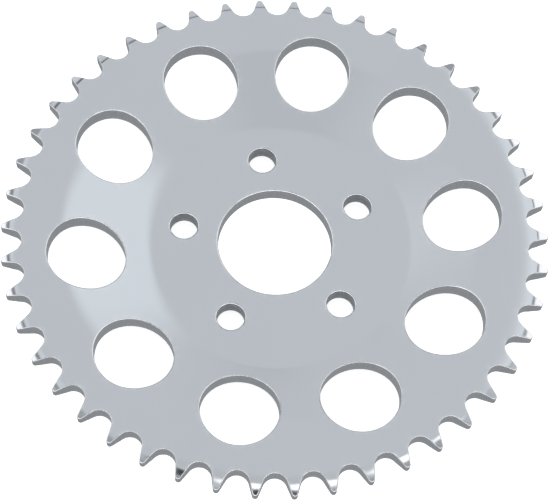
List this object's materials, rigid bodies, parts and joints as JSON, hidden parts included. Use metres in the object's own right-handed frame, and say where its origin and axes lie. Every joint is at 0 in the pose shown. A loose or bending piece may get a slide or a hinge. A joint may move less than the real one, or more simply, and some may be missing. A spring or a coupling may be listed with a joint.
{
  "type": "rear chain sprocket",
  "caption": "Dished one-piece steel plate with chain teeth round its rim, a centre bore, a circle of bolt holes in its hub and large round lightening holes; it turns a rear wheel from a chain.",
  "frame": {"origin": "wheel axis at the hub's back face", "axes": "+Z along the wheel axis towards the concave side, where the rim stands proud of the hub; +X through the middle of a tooth"},
  "size_m": [0.2408, 0.2404, 0.0206],
  "materials": {
    "plated_steel": "bright plated, polished faces"
  },
  "bodies": {
    "root": {"sprocket_plate": "plated_steel"}
  },
  "joints": []
}
